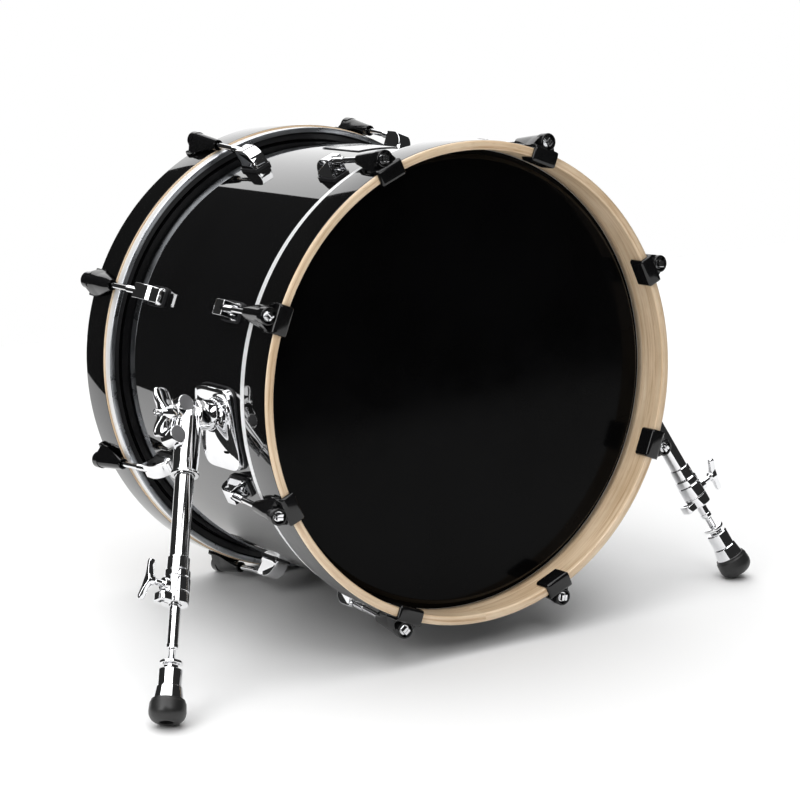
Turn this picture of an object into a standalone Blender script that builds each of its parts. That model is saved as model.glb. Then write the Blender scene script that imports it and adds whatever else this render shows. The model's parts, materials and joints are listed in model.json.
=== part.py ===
"""Bass drum, nominally 18 by 12 inches, standing on two folding spurs.

The drum is modelled in its own frame: the drum's axis is Y, the resonant (front)
head faces -Y, the batter (rear) head faces +Y, and the middle of the shell is the
origin.  An empty tilts that frame so that the spurs hold the front hoop off the
floor, and puts the floor at Z = 0.  Lengths are metres.
"""

import math

import bmesh
import bpy
from mathutils import Euler, Matrix, Vector

# ---------------------------------------------------------------- driving dimensions
GAP = 0.0003                    # between pieces that touch

SHELL_RADIUS = 0.2286           # 18 inch shell
SHELL_WALL = 0.0075
HEAD_RECESS = 0.033             # from the hoop's rim to the head
HALF_LENGTH = 0.19125           # from the middle of the shell to a hoop's rim
EDGE_Y = HALF_LENGTH - HEAD_RECESS
FILM = 0.0006
HEAD_RADIUS = 0.2245            # where the flat film ends and its collar starts

HOOP_RADIUS = 0.245
HOOP_THICKNESS = 0.0095
HOOP_DEPTH = 0.042
HOOP_ROUND = 0.003
FLESH_INNER = 0.2301            # inside of the flesh hoop's flange
FLESH_RING = 0.237              # inside of its outer ring
FLESH_OUTER = 0.243
FLESH_HEIGHT = 0.0112
FLANGE_HEIGHT = 0.007

LUG_COUNT = 8
LUG_ANGLES = [math.radians(22.5 + 45.0 * k) for k in range(LUG_COUNT)]
LUG_FACE = HALF_LENGTH - 0.097  # the lug's hoop-side face, from the middle
LUG_LENGTH = 0.031
LUG_WIDTH = 0.0165
LUG_HEIGHT = 0.0226
LUG_ROUND = 0.0195
LUG_BORE = 0.0039
BORE_DROP = 0.0005              # leaves room for the sloping rod as it slides out

ROD_RADIUS = 0.003
ROD_HEAD_RADIUS = 0.2551        # the rod's axis at its head, from the drum's axis
ROD_HEAD_Y = HALF_LENGTH - 0.002
ROD_SLOPE = 0.085               # the rods lean outwards towards the hoop
ROD_LENGTH = 0.108

CLAW_WIDTH = 0.030
CLAW_LIP = 0.016                # how far the claw reaches over the hoop's inside
CLAW_NOSE = 0.049               # from the rim to the claw's rear end

PITCH = math.radians(4.8)       # the front stands higher than the rear

# Spurs.  A spur's distances run down its leg from the leg's origin, which is a little
# below the swing axis.  The leg splays out further than it would at right angles to the axis.
LEG_X = 0.2629
LEG_Y = 0.1218 - HALF_LENGTH
LEG_Z = -0.0137
LEG_SPLAY = math.radians(24.3)
SWING_TILT = math.radians(10.5)
SWING_RISE = 0.0048             # from the leg's origin up the leg to the swing axis
LEG_SWING = {"left": math.radians(26.2), "right": math.radians(13.9)}
SIDES = {"left": -1, "right": 1}

BASE_ANGLE = math.radians(96.8)
BASE_HALF_LENGTH = 0.037
BASE_HALF_HEIGHT = 0.0425
BARREL_RADIUS = 0.016
BARREL_JOINT = 0.0235           # from the leg's axis in to the bracket's end face
TUBE_RADIUS = 0.0095
TUBE_BORE = 0.0065
TUBE_TOP, TUBE_END = 0.030, 0.175
SOCKET_RADIUS = 0.013
SOCKET_END = 0.062
COLLAR_TOP, COLLAR_END = 0.148, 0.197
WING_BOLT = 0.179
WING_NUT_TURN = math.radians(13)
WING_BOLT_TURN = math.radians(23)
INNER_ROD_RADIUS = 0.0055
INNER_ROD_LENGTH = 0.165
STUD_RADIUS = 0.0039

# The foot, measured from the inner rod's lower shoulder.
STUD_END = 0.0575
SPIKE_TIP = 0.0695
NUT_TOP, NUT_FLANGE, NUT_END = 0.0125, 0.017, 0.0197
FERRULE_TOP, FERRULE_STEP, FERRULE_END = 0.0202, 0.0381, 0.0570
RUBBER_TOP, RUBBER_WIDEST, RUBBER_END = 0.0515, 0.0629, 0.0735
RUBBER_RADIUS = 0.0181
RUBBER_ROUND = RUBBER_END - RUBBER_WIDEST

RING_SEGMENTS = 48
ORIGIN_SHIFT = 0.014            # puts the origin under the middle of the whole drum


# ---------------------------------------------------------------------- mesh helpers
def clear_scene():
    for obj in list(bpy.data.objects):
        bpy.data.objects.remove(obj, do_unlink=True)


def arc(centre, radius, start, end, steps):
    """Points of a circular arc in a profile's plane, angles in degrees."""
    points = []
    for k in range(steps + 1):
        angle = math.radians(start + (end - start) * k / steps)
        points.append((centre[0] + radius * math.cos(angle),
                       centre[1] + radius * math.sin(angle)))
    return points


def finish_mesh(bm, name):
    bmesh.ops.recalc_face_normals(bm, faces=bm.faces)
    mesh = bpy.data.meshes.new(name)
    bm.to_mesh(mesh)
    bm.free()
    mesh.shade_smooth()
    mesh.set_sharp_from_angle(angle=math.radians(30))
    return mesh


def revolve(name, profile, segments=RING_SEGMENTS):
    """Turn a closed (radius, height) outline about Z; a zero radius is a pole."""
    bm = bmesh.new()
    rings = []
    for radius, height in profile:
        if radius < 1e-6:
            rings.append([bm.verts.new((0.0, 0.0, height))])
            continue
        ring = []
        for k in range(segments):
            angle = 2.0 * math.pi * k / segments
            ring.append(bm.verts.new((radius * math.cos(angle), radius * math.sin(angle), height)))
        rings.append(ring)
    for here, there in zip(rings, rings[1:] + rings[:1]):
        if len(here) == 1 and len(there) == 1:
            continue
        for k in range(segments):
            after = (k + 1) % segments
            corners = [here[k % len(here)], here[after % len(here)],
                       there[after % len(there)], there[k % len(there)]]
            bm.faces.new(list(dict.fromkeys(corners)))
    return finish_mesh(bm, name)


def prism(name, outline, half_width):
    """Extrude a closed (y, z) outline along X, to half_width each way."""
    bm = bmesh.new()
    near = [bm.verts.new((-half_width, y, z)) for y, z in outline]
    far = [bm.verts.new((half_width, y, z)) for y, z in outline]
    bm.faces.new(near)
    bm.faces.new(far)
    for k in range(len(outline)):
        after = (k + 1) % len(outline)
        bm.faces.new((near[k], near[after], far[after], far[k]))
    return finish_mesh(bm, name)


def loft(name, rings):
    """Join rings of equal length into one closed solid."""
    bm = bmesh.new()
    loops = [[bm.verts.new(point) for point in ring] for ring in rings]
    for here, there in zip(loops, loops[1:]):
        for k in range(len(here)):
            after = (k + 1) % len(here)
            bm.faces.new((here[k], here[after], there[after], there[k]))
    bm.faces.new(loops[0])
    bm.faces.new(loops[-1])
    return finish_mesh(bm, name)


def rod_between(name, start, end, start_radius, end_radius, segments=16):
    """A cylinder or cone from one point to another."""
    start, end = Vector(start), Vector(end)
    turn = (end - start).to_track_quat("Z", "Y")
    rings = []
    for centre, radius in ((start, start_radius), (end, end_radius)):
        ring = []
        for k in range(segments):
            angle = 2.0 * math.pi * k / segments
            spoke = Vector((radius * math.cos(angle), radius * math.sin(angle), 0.0))
            ring.append(centre + turn @ spoke)
        rings.append(ring)
    return loft(name, rings)


def box(name, low, high):
    x0, y0, z0 = low
    x1, y1, z1 = high
    rings = [[(x0, y0, z), (x1, y0, z), (x1, y1, z), (x0, y1, z)] for z in (z0, z1)]
    return loft(name, rings)


def combine(name, base, steps):
    """Join or cut meshes one after another; steps are (operation, mesh) pairs."""
    helpers = [bpy.data.objects.new(name + "_base", base)]
    for operation, mesh in steps:
        tool = bpy.data.objects.new(name + "_tool", mesh)
        modifier = helpers[0].modifiers.new(operation, "BOOLEAN")
        modifier.operation = operation
        modifier.solver = "EXACT"
        modifier.object = tool
        helpers.append(tool)
    for helper in helpers:
        bpy.context.scene.collection.objects.link(helper)
    bpy.context.view_layer.update()
    graph = bpy.context.evaluated_depsgraph_get()
    result = bpy.data.meshes.new_from_object(helpers[0].evaluated_get(graph))
    result.name = name
    for helper in helpers:
        bpy.data.objects.remove(helper, do_unlink=True)
    result.shade_smooth()
    result.set_sharp_from_angle(angle=math.radians(30))
    return result


def mirrored(mesh):
    """A copy of a mesh reflected in X, with its faces still pointing out."""
    bm = bmesh.new()
    bm.from_mesh(mesh)
    bm.transform(Matrix.Diagonal((-1.0, 1.0, 1.0, 1.0)))
    bmesh.ops.reverse_faces(bm, faces=bm.faces)
    copy = bpy.data.meshes.new(mesh.name + "_mirrored")
    bm.to_mesh(copy)
    bm.free()
    copy.shade_smooth()
    copy.set_sharp_from_angle(angle=math.radians(30))
    return copy


FINISHES = {
    "lacquer": ((0.012, 0.012, 0.013, 1.0), 0.08, 0.0),
    "maple": ((0.78, 0.62, 0.43, 1.0), 0.35, 0.0),
    "film": ((0.010, 0.010, 0.011, 1.0), 0.12, 0.0),
    "aluminium": ((0.80, 0.81, 0.82, 1.0), 0.25, 1.0),
    "chrome": ((0.86, 0.86, 0.87, 1.0), 0.06, 1.0),
    "black_metal": ((0.015, 0.015, 0.016, 1.0), 0.15, 0.0),
    "rubber": ((0.035, 0.035, 0.036, 1.0), 0.6, 0.0),
}


def place(name, mesh, finish, parent, location=(0, 0, 0), rotation=(0, 0, 0)):
    """One named piece with its own material, held in its parent's frame."""
    colour, roughness, metallic = FINISHES[finish]
    material = bpy.data.materials.new(name)
    material.use_nodes = True
    shader = material.node_tree.nodes["Principled BSDF"]
    shader.inputs["Base Color"].default_value = colour
    shader.inputs["Roughness"].default_value = roughness
    shader.inputs["Metallic"].default_value = metallic
    if mesh.users:
        mesh = mesh.copy()
    mesh.materials.clear()
    mesh.materials.append(material)
    obj = bpy.data.objects.new(name, mesh)
    bpy.context.scene.collection.objects.link(obj)
    obj.parent = parent
    obj.location = location
    obj.rotation_euler = rotation
    return obj


def empty(name, parent, location, rotation):
    obj = bpy.data.objects.new(name, None)
    bpy.context.scene.collection.objects.link(obj)
    obj.parent = parent
    obj.location = location
    obj.rotation_euler = rotation
    return obj


# ----------------------------------------------------------------- shell, hoops, heads
def drum_height():
    """Height of the middle of the drum when the rear hoop's round edge meets the floor."""
    return ((HOOP_RADIUS - HOOP_ROUND) * math.cos(PITCH)
            + (HALF_LENGTH - HOOP_ROUND) * math.sin(PITCH) + HOOP_ROUND)


def shell_mesh():
    outer, inner = SHELL_RADIUS, SHELL_RADIUS - SHELL_WALL
    apex = outer - 0.0045
    top = EDGE_Y
    end = [(outer, top - 0.004), (apex, top), (inner, top - 0.003)]
    other = [(radius, -height) for radius, height in reversed(end)]
    return revolve("shell", end + other)


def hoop_mesh():
    outer, inner = HOOP_RADIUS, HOOP_RADIUS - HOOP_THICKNESS
    rim, back = HALF_LENGTH, HALF_LENGTH - HOOP_DEPTH
    small = HOOP_ROUND * 0.7
    profile = [(inner, back), (outer, back)]
    profile += arc((outer - HOOP_ROUND, rim - HOOP_ROUND), HOOP_ROUND, 0, 90, 2)
    profile += arc((inner + small, rim - small), small, 90, 180, 1)
    return revolve("hoop", profile)


def head_mesh():
    """The flat film, up to where it turns down over the bearing edge."""
    under = EDGE_Y + GAP
    profile = [(0.0, under + FILM), (HEAD_RADIUS, under + FILM), (HEAD_RADIUS, under), (0.0, under)]
    return revolve("head", profile)


def flesh_hoop_mesh():
    """The metal hoop, its flange, and the head's collar that rises over the bearing edge."""
    top = HALF_LENGTH - HOOP_DEPTH - GAP
    bottom = top - FLESH_HEIGHT
    flange = top - FLANGE_HEIGHT
    soft = 0.0012
    inner = SHELL_RADIUS + 0.0004
    crown = HEAD_RADIUS + GAP
    under = EDGE_Y + GAP
    turn = EDGE_Y - 0.0036
    profile = [(inner, flange), (FLESH_RING, flange), (FLESH_RING, bottom),
               (FLESH_OUTER - soft, bottom), (FLESH_OUTER, bottom + soft),
               (FLESH_OUTER, top - soft), (FLESH_OUTER - soft, top), (FLESH_INNER, top),
               (FLESH_INNER, turn), (crown, under + FILM), (crown, under), (inner, turn)]
    return revolve("flesh_hoop", profile)


def badge_mesh():
    """A thin metal plate bent to the shell."""
    middle, half_length, half_width, thickness = 0.011, 0.036, 0.024, 0.0008
    rings = []
    for y in (middle - half_length, middle + half_length):
        outer, inner = [], []
        for k in range(7):
            angle = (k / 6.0 * 2.0 - 1.0) * half_width / SHELL_RADIUS
            low = SHELL_RADIUS + GAP
            inner.append((low * math.sin(angle), y, low * math.cos(angle)))
            high = low + thickness
            outer.append((high * math.sin(angle), y, high * math.cos(angle)))
        rings.append(outer + inner[::-1])
    return loft("badge", rings)


def build_body(drum):
    place("shell", shell_mesh(), "lacquer", drum, rotation=(math.pi / 2, 0, 0))
    hoop, head, flesh = hoop_mesh(), head_mesh(), flesh_hoop_mesh()
    for end, turn in (("front", math.pi / 2), ("rear", -math.pi / 2)):
        place(end + "_hoop", hoop, "maple", drum, rotation=(turn, 0, 0))
        place(end + "_head", head, "film", drum, rotation=(turn, 0, 0))
        place(end + "_flesh_hoop", flesh, "aluminium", drum, rotation=(turn, 0, 0))
    place("badge", badge_mesh(), "aluminium", drum)


# --------------------------------------------------------------- lugs, rods and claws
def rod_axis(distance):
    """A point on a tension rod, a distance from its head towards the lug."""
    y = ROD_HEAD_Y - distance
    return Vector((0.0, -y, ROD_HEAD_RADIUS - ROD_SLOPE * distance))


def lug_mesh():
    """A quarter-round casting on the shell, with a bore for the tension rod."""
    bottom = SHELL_RADIUS + GAP
    top = bottom + LUG_HEIGHT
    back = LUG_FACE - LUG_LENGTH
    outline = [(-LUG_FACE, bottom), (-LUG_FACE, top)]
    outline += arc((-back - LUG_ROUND, top - LUG_ROUND), LUG_ROUND, 90, 0, 5)
    outline.append((-back, bottom))
    body = prism("lug_body", outline, LUG_WIDTH / 2)
    drop = Vector((0.0, 0.0, BORE_DROP))
    bore_start, bore_end = rod_axis(0.060) - drop, rod_axis(ROD_LENGTH + 0.0035) - drop
    bore = rod_between("lug_bore", bore_start, bore_end, LUG_BORE, LUG_BORE, 12)
    return combine("lug", body, [("DIFFERENCE", bore)])


def claw_mesh():
    """A claw hook over the hoop's rim, with its tension rod and the rod's key head."""
    rim = HALF_LENGTH
    lip_top = HOOP_RADIUS - HOOP_THICKNESS - 0.0013
    lip_low = lip_top - 0.0028
    outside = HOOP_RADIUS + GAP
    front = rim + 0.004
    outline = [(-(rim - CLAW_LIP), lip_low), (-(rim + 0.0015), lip_low),
               (-front, lip_low + 0.0026), (-front, HOOP_RADIUS + 0.0026),
               (-(rim - 0.001), HOOP_RADIUS + 0.0040), (-(rim - 0.017), outside + 0.0030),
               (-(rim - 0.017), outside),
               (-(rim + GAP), outside), (-(rim + GAP), lip_top), (-(rim - CLAW_LIP), lip_top)]
    hook = prism("claw_hook", outline, CLAW_WIDTH / 2)
    barrel = rod_between("claw_barrel", rod_axis(0.000), rod_axis(CLAW_NOSE - 0.002), 0.0086, 0.0058, 10)
    socket = rod_between("claw_socket", rod_axis(-0.010), rod_axis(0.005), 0.0062, 0.0062, 10)
    rod = rod_between("tension_rod", rod_axis(0.002), rod_axis(ROD_LENGTH), ROD_RADIUS, ROD_RADIUS, 6)
    head = rod_between("rod_head", rod_axis(-0.003), rod_axis(0.006), 0.0042, 0.0042, 4)
    steps = [("UNION", barrel), ("DIFFERENCE", socket), ("UNION", rod), ("UNION", head)]
    return combine("claw_and_rod", hook, steps)


def build_tension(drum):
    lug, claw = lug_mesh(), claw_mesh()
    for number, angle in enumerate(LUG_ANGLES, start=1):
        for end, rotation in (("front", (0, angle, 0)), ("rear", (0, -angle, math.pi))):
            place(f"{end}_lug_{number}", lug, "chrome", drum, rotation=rotation)
            place(f"{end}_claw_rod_{number}", claw, "black_metal", drum, rotation=rotation)


# ------------------------------------------------------------------------------- spurs
def leg_point(side):
    return Vector((side * LEG_X, LEG_Y, LEG_Z))


def leg_rotation(side, leg_swing):
    return Euler((-leg_swing, -side * LEG_SPLAY, 0.0))


def swing_point(side, leg_swing):
    """Where the leg's line crosses the swing axis."""
    return leg_point(side) + leg_rotation(side, leg_swing).to_matrix() @ Vector((0, 0, SWING_RISE))


def swing_axis(side):
    """The swing axis leans up and out of the shell."""
    return Vector((side * math.cos(SWING_TILT), 0.0, math.sin(SWING_TILT)))


def rest_shoulder(side, leg_swing):
    """How far down the leg the inner rod's shoulder is when the rubber meets the floor."""
    leg = leg_rotation(side, leg_swing).to_matrix() @ Vector((0, 0, -1))
    up = Vector((0.0, -math.sin(PITCH), math.cos(PITCH)))
    pivot_height = drum_height() + leg_point(side).dot(up)
    lean_cos = -leg.dot(up)
    lean_sin = math.sqrt(1.0 - lean_cos ** 2)
    reach = pivot_height - RUBBER_ROUND - (RUBBER_RADIUS - RUBBER_ROUND) * lean_sin
    return reach / lean_cos - RUBBER_WIDEST


def bracket_mesh(leg_swing):
    """A bell on the shell that narrows to the swing barrel; the +X side's bracket."""
    axis, pivot = swing_axis(1), swing_point(1, leg_swing)
    across = Vector((0.0, 1.0, 0.0))
    up = axis.cross(across)
    radial = Vector((math.sin(BASE_ANGLE), 0.0, math.cos(BASE_ANGLE)))
    around = radial.cross(across)
    base = radial * (SHELL_RADIUS - 0.010) + across * LEG_Y

    def ring(centre, right, high, half_right, half_high, power, steps=20):
        points = []
        for k in range(steps):
            angle = 2.0 * math.pi * (k + 0.5) / steps
            c, s = math.cos(angle), math.sin(angle)
            x = math.copysign(abs(c) ** power, c) * half_right
            z = math.copysign(abs(s) ** power, s) * half_high
            points.append(centre + right * x + high * z)
        return points

    wide = ring(base, across, around, BASE_HALF_LENGTH, BASE_HALF_HEIGHT, 0.5)
    plate = ring(base + radial * 0.0145, across, around, BASE_HALF_LENGTH, BASE_HALF_HEIGHT, 0.5)
    neck = ring(pivot - axis * (BARREL_JOINT + 0.006), across, up, BARREL_RADIUS, BARREL_RADIUS, 1.0)
    face = ring(pivot - axis * BARREL_JOINT, across, up, BARREL_RADIUS, BARREL_RADIUS, 1.0)
    bell = loft("bracket_bell", [wide, plate, neck, face])
    clear = SHELL_RADIUS + 2 * GAP
    saddle = rod_between("bracket_saddle", (0, -HALF_LENGTH, 0), (0, HALF_LENGTH, 0), clear, clear, 96)
    bolt_hole = rod_between("bracket_bolt", pivot - axis * 0.032, pivot, 0.0045, 0.0045, 12)
    return combine("bracket", bell, [("DIFFERENCE", saddle), ("DIFFERENCE", bolt_hole)])


def axis_in_leg(leg_swing):
    """The swing axis's direction in the leg's frame, pointing out."""
    return leg_rotation(1, leg_swing).to_matrix().transposed() @ swing_axis(1)


def knuckle_mesh(leg_swing):
    """The turning half of the swing joint, with the socket that holds the tube."""
    axis = axis_in_leg(leg_swing)
    centre = Vector((0, 0, SWING_RISE))

    def along(name, start, end, radius, segments):
        return rod_between(name, centre + axis * start, centre + axis * end, radius, radius, segments)

    inner = -(BARREL_JOINT - GAP)
    barrel = along("knuckle_barrel", inner, -0.0035, 0.0155, 20)
    hub = along("knuckle_hub", -0.006, 0.0165, 0.0090, 20)
    bolt = along("knuckle_bolt", 0.010, 0.036, 0.0035, 12)
    pin = along("knuckle_pin", inner - 0.007, inner + 0.002, 0.004, 12)
    socket = rod_between("knuckle_socket", (0, 0, 0.009), (0, 0, -SOCKET_END), SOCKET_RADIUS, SOCKET_RADIUS, 20)
    bore = rod_between("knuckle_bore", (0, 0, -0.029), (0, 0, -0.080), 0.0098, 0.0098, 20)
    upper = rod_between("knuckle_boss_a", (0.0085, 0.009, 0.0117), (0.0085, -0.0068, 0.0117), 0.0085, 0.0085, 16)
    lower = rod_between("knuckle_boss_b", (0.0105, 0.008, -0.0215), (0.0105, -0.0045, -0.0215), 0.0080, 0.0080, 16)
    web = box("knuckle_web", (0.002, -0.004, -0.020), (0.014, 0.008, 0.008))
    steps = [("UNION", socket), ("UNION", hub), ("UNION", upper), ("UNION", web), ("UNION", lower),
             ("UNION", bolt), ("UNION", pin), ("DIFFERENCE", bore)]
    return combine("knuckle", barrel, steps)


def wing_nut_mesh():
    """A hub on the swing bolt with two wings that spread away from the leg."""
    hub = rod_between("nut_hub", (0.0185, 0, 0), (0.029, 0, 0), 0.0085, 0.0075, 16)
    steps = []
    for way in (-1, 1):
        rings = []
        for x0, x1, z, half in ((0.0190, 0.0335, 0.003, 0.0045), (0.0212, 0.0375, 0.012, 0.0028),
                                (0.0250, 0.0395, 0.020, 0.0022), (0.0285, 0.0375, 0.0245, 0.0016)):
            ring = [(x0, -half, way * z), (x1, -half, way * z), (x1, half, way * z), (x0, half, way * z)]
            rings.append([turned(point, WING_NUT_TURN) for point in ring])
        steps.append(("UNION", loft("nut_wing", rings)))
    bore = rod_between("nut_bore", (0.010, 0, 0), (0.045, 0, 0), 0.0039, 0.0039, 12)
    steps.append(("DIFFERENCE", bore))
    return combine("wing_nut", hub, steps)


def turned(point, angle):
    """A point turned about X, so that what hangs below the axis moves to the rear."""
    _, y, z = point
    return (point[0], y * math.cos(angle) - z * math.sin(angle), y * math.sin(angle) + z * math.cos(angle))


def tube_mesh():
    profile = [(TUBE_BORE, -TUBE_END), (TUBE_RADIUS, -TUBE_END),
               (TUBE_RADIUS, -TUBE_TOP), (TUBE_BORE, -TUBE_TOP)]
    return revolve("tube", profile, 20)


def collar_mesh(ear_way):
    """The clamp at the tube's end: three steps, a lower jaw and an ear."""
    grip = TUBE_RADIUS + GAP
    throat = INNER_ROD_RADIUS + 2 * GAP
    profile = [(throat, -COLLAR_END), (0.0130, -COLLAR_END), (0.0130, -0.184), (0.0132, -0.1705),
               (0.0128, -0.162), (0.0124, -0.161), (0.0108, -COLLAR_TOP), (grip, -COLLAR_TOP),
               (grip, -TUBE_END - GAP), (throat, -TUBE_END - GAP)]
    body = revolve("collar_body", profile, 16)
    boss = rod_between("collar_boss", (0.011, 0, -WING_BOLT), (0.0165, 0, -WING_BOLT), 0.0065, 0.006, 12)
    ear_span = sorted((ear_way * 0.0095, ear_way * 0.0210))
    ear = box("collar_ear", (ear_span[0], -0.008, -0.1965), (ear_span[1], 0.008, -0.1885))
    return combine("collar", body, [("UNION", boss), ("UNION", ear)])


def wing_bolt_mesh():
    """A T-shaped bolt that squeezes the collar; its origin is on its own axis."""
    shaft = rod_between("bolt_shaft", (0.0168, 0, 0), (0.032, 0, 0), 0.0035, 0.0035, 12)
    rings = []
    for z, x0, x1, half in ((-0.020, 0.0330, 0.0370, 0.0018), (-0.010, 0.0300, 0.0360, 0.0025),
                            (0.0, 0.0280, 0.0350, 0.0040), (0.010, 0.0300, 0.0360, 0.0025),
                            (0.020, 0.0330, 0.0370, 0.0018)):
        ring = [(x0, -half, z), (x1, -half, z), (x1, half, z), (x0, half, z)]
        rings.append([turned(point, WING_BOLT_TURN) for point in ring])
    return combine("wing_bolt", shaft, [("UNION", loft("bolt_handle", rings))])


def inner_rod_mesh():
    profile = [(0.0, INNER_ROD_LENGTH), (INNER_ROD_RADIUS, INNER_ROD_LENGTH), (INNER_ROD_RADIUS, 0.0),
               (STUD_RADIUS, -0.0005), (STUD_RADIUS, -STUD_END), (0.0, -SPIKE_TIP)]
    return revolve("inner_rod", profile, 18)


def lock_nut_mesh():
    hexagon = rod_between("nut_hex", (0, 0, -NUT_FLANGE + 0.001), (0, 0, -NUT_END), 0.0082, 0.0082, 6)
    flange = rod_between("nut_flange", (0, 0, -NUT_TOP), (0, 0, -NUT_FLANGE), 0.0112, 0.0117, 20)
    bore = rod_between("nut_thread", (0, 0, -0.005), (0, 0, -0.030), 0.0043, 0.0043, 12)
    return combine("lock_nut", flange, [("UNION", hexagon), ("DIFFERENCE", bore)])


def ferrule_mesh():
    bore = STUD_RADIUS + 0.0007
    profile = [(bore, -FERRULE_TOP), (bore, -FERRULE_END), (0.0140, -FERRULE_END),
               (0.0150, -RUBBER_TOP), (0.0132, -FERRULE_STEP), (0.0119, -FERRULE_STEP),
               (0.0119, -FERRULE_TOP - 0.001), (0.0110, -FERRULE_TOP)]
    return revolve("ferrule", profile, 16)


def rubber_foot_mesh():
    """A thick cup over the ferrule, open below for the spike."""
    hole = 0.006
    core = RUBBER_RADIUS - RUBBER_ROUND
    profile = [(0.0155, -RUBBER_TOP), (0.0145, -FERRULE_END - GAP), (hole, -FERRULE_END - GAP),
               (hole, -RUBBER_END)]
    profile += arc((core, -RUBBER_WIDEST), RUBBER_ROUND, -90, 0, 4)
    profile += [(0.0168, -RUBBER_TOP)]
    return revolve("rubber_foot", profile, 20)


def build_spur(drum, name, side):
    def handed(mesh):
        return mesh if side > 0 else mirrored(mesh)

    swing = LEG_SWING[name]
    place(f"{name}_spur_bracket", handed(bracket_mesh(swing)), "chrome", drum)
    pivot = swing_point(1, swing)
    pivot.x *= side
    joint = empty(f"{name}_swing_frame", drum, pivot, (-swing, -side * SWING_TILT, 0))
    leg = empty(f"{name}_leg_frame", drum, leg_point(side), leg_rotation(side, swing))
    place(f"{name}_spur_knuckle", handed(knuckle_mesh(swing)), "chrome", leg)
    place(f"{name}_wing_nut", handed(wing_nut_mesh()), "chrome", joint)
    place(f"{name}_leg_tube", tube_mesh(), "chrome", leg)
    place(f"{name}_leg_collar", handed(collar_mesh(-side)), "chrome", leg)
    place(f"{name}_wing_bolt", handed(wing_bolt_mesh()), "chrome", leg, location=(0, 0, -WING_BOLT))
    shoulder = (0, 0, -rest_shoulder(side, swing))
    place(f"{name}_inner_rod", inner_rod_mesh(), "chrome", leg, location=shoulder)
    place(f"{name}_lock_nut", lock_nut_mesh(), "chrome", leg, location=shoulder)
    place(f"{name}_foot_ferrule", ferrule_mesh(), "chrome", leg, location=shoulder)
    place(f"{name}_rubber_foot", rubber_foot_mesh(), "rubber", leg, location=shoulder)


def main():
    clear_scene()
    drum = empty("drum_frame", None, (0, ORIGIN_SHIFT, drum_height()), (-PITCH, 0, 0))
    build_body(drum)
    build_tension(drum)
    for name, side in SIDES.items():
        build_spur(drum, name, side)


main()
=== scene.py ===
"""The finished look of the bass drum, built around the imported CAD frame.

Three kinds of local frame are used.  The drum frame has the drum's axis along Y, with the
front head facing -Y and the middle of the shell at the origin.  Each leg frame has Z up
the leg, X square to it on the same side as the drum's X, and its origin a little below
the swing axis.  Each swing frame has X along the swing axis and its origin on the pivot.
Left-hand pieces are mirror images of the right-hand ones.  A distance t is measured from
a hoop's rim towards the middle of the drum.  Lengths are metres.
"""

import json
import math

import bmesh
import bpy
from mathutils import Matrix, Vector


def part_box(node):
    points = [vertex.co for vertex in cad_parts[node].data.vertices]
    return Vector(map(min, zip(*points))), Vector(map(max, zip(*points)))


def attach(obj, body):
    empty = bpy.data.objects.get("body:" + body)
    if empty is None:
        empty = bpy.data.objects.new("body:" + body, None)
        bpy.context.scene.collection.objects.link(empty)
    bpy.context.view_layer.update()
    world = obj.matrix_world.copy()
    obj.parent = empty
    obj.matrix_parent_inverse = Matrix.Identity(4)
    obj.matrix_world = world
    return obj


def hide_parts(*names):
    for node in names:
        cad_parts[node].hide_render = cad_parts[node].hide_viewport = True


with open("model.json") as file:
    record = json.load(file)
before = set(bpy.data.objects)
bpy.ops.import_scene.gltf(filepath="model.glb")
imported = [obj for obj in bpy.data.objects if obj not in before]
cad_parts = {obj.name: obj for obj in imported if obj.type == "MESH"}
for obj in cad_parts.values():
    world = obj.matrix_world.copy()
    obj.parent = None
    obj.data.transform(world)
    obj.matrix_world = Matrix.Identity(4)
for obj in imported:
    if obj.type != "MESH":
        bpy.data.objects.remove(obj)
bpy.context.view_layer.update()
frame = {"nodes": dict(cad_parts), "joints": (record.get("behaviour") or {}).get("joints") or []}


# ---------- frames from the CAD
def joint(name):
    """The CAD joint of that name."""
    return next(j for j in frame["joints"] if j["name"] == name)


def axes_matrix(x_axis, z_axis, origin):
    """A frame from its X and Z directions."""
    x, z = Vector(x_axis).normalized(), Vector(z_axis).normalized()
    rotation = Matrix((x, z.cross(x), z)).transposed()
    return Matrix.Translation(origin) @ rotation.to_4x4()


def local_box(node, matrix):
    """Lowest and highest corner of a CAD node in a local frame."""
    back = matrix.inverted()
    corners = [back @ v.co for v in frame["nodes"][node].data.vertices]
    return (Vector(min(c[i] for c in corners) for i in range(3)),
            Vector(max(c[i] for c in corners) for i in range(3)))


shell_low, shell_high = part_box("shell")
FRONTWARD = Vector(joint("front_tension_slide")["axis"])
X_AXIS, Y_AXIS = Vector((1, 0, 0)), Vector((0, 1, 0))
DRUM = axes_matrix(X_AXIS, X_AXIS.cross(-FRONTWARD), (shell_low + shell_high) / 2)

SHELL_RADIUS = local_box("shell", DRUM)[1].x
EDGE = local_box("shell", DRUM)[1].y
HOOP_LOW, HOOP_HIGH = local_box("front_hoop", DRUM)
HOOP_RADIUS = HOOP_HIGH.x
HALF_LENGTH = -HOOP_LOW.y
HOOP_DEPTH = HOOP_HIGH.y - HOOP_LOW.y
HOOP_WALL = 0.0095
HOOP_INNER = HOOP_RADIUS - HOOP_WALL
FLESH_RADIUS = local_box("front_flesh_hoop", DRUM)[1].x
FLESH_INNER = SHELL_RADIUS + 0.0015
FLESH_RING = FLESH_RADIUS - 0.006
FLESH_HEIGHT = 0.0112
ROD_RADIUS = 0.003
ROD_HEAD_T = 0.002
ROD_HEAD_RADIUS = HOOP_RADIUS + 0.0101
ROD_SLOPE = 0.085
ROD_END_T = 0.110
LUG_T = 0.097
SWING_RISE = 0.0048             # from a leg's origin up its line to the swing axis
SOLID_STEPS = 240               # segments round the drum
PAST_ENDS = 0.2                 # reaches past both ends of the drum
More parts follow.
